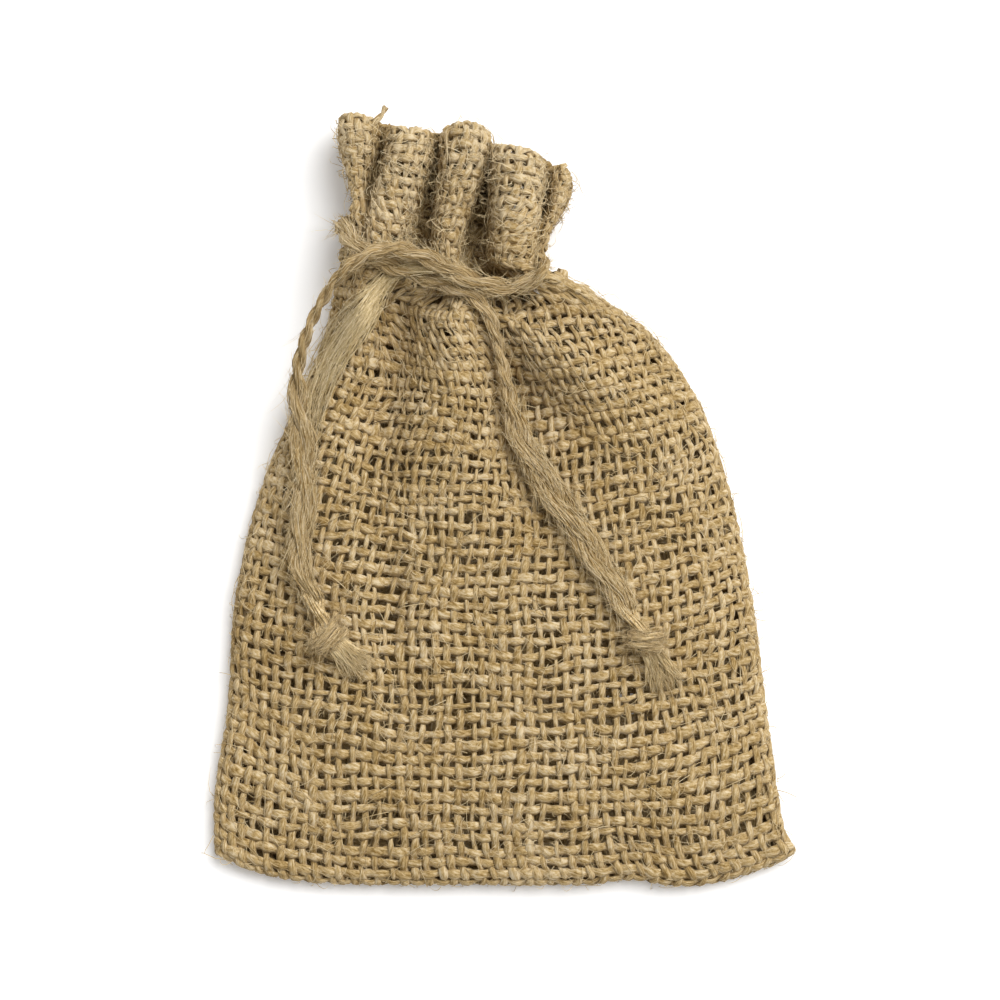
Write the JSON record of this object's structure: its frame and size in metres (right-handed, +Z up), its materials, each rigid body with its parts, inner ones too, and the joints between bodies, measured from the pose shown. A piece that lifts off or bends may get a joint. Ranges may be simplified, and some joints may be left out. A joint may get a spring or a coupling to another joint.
{
  "type": "jute drawstring bag",
  "caption": "Small flat pouch of coarse woven jute lying on its back, its neck gathered by a jute cord with knotted, frayed ends.",
  "frame": {"origin": "under the middle of the bag, on the surface it lies on", "axes": "+Y from the bottom fold to the gathered mouth, +Z up out of the front of the bag, +X to the right seen from the front"},
  "size_m": [0.1002, 0.1328, 0.0225],
  "materials": {
    "jute_cloth": "coarse open plain weave with loose fibres",
    "jute_cord": "loosely twisted cord with loose fibres"
  },
  "bodies": {
    "root": {"bag": "jute_cloth", "drawcord": "jute_cord", "knot_left": "jute_cord", "knot_right": "jute_cord"}
  },
  "joints": []
}
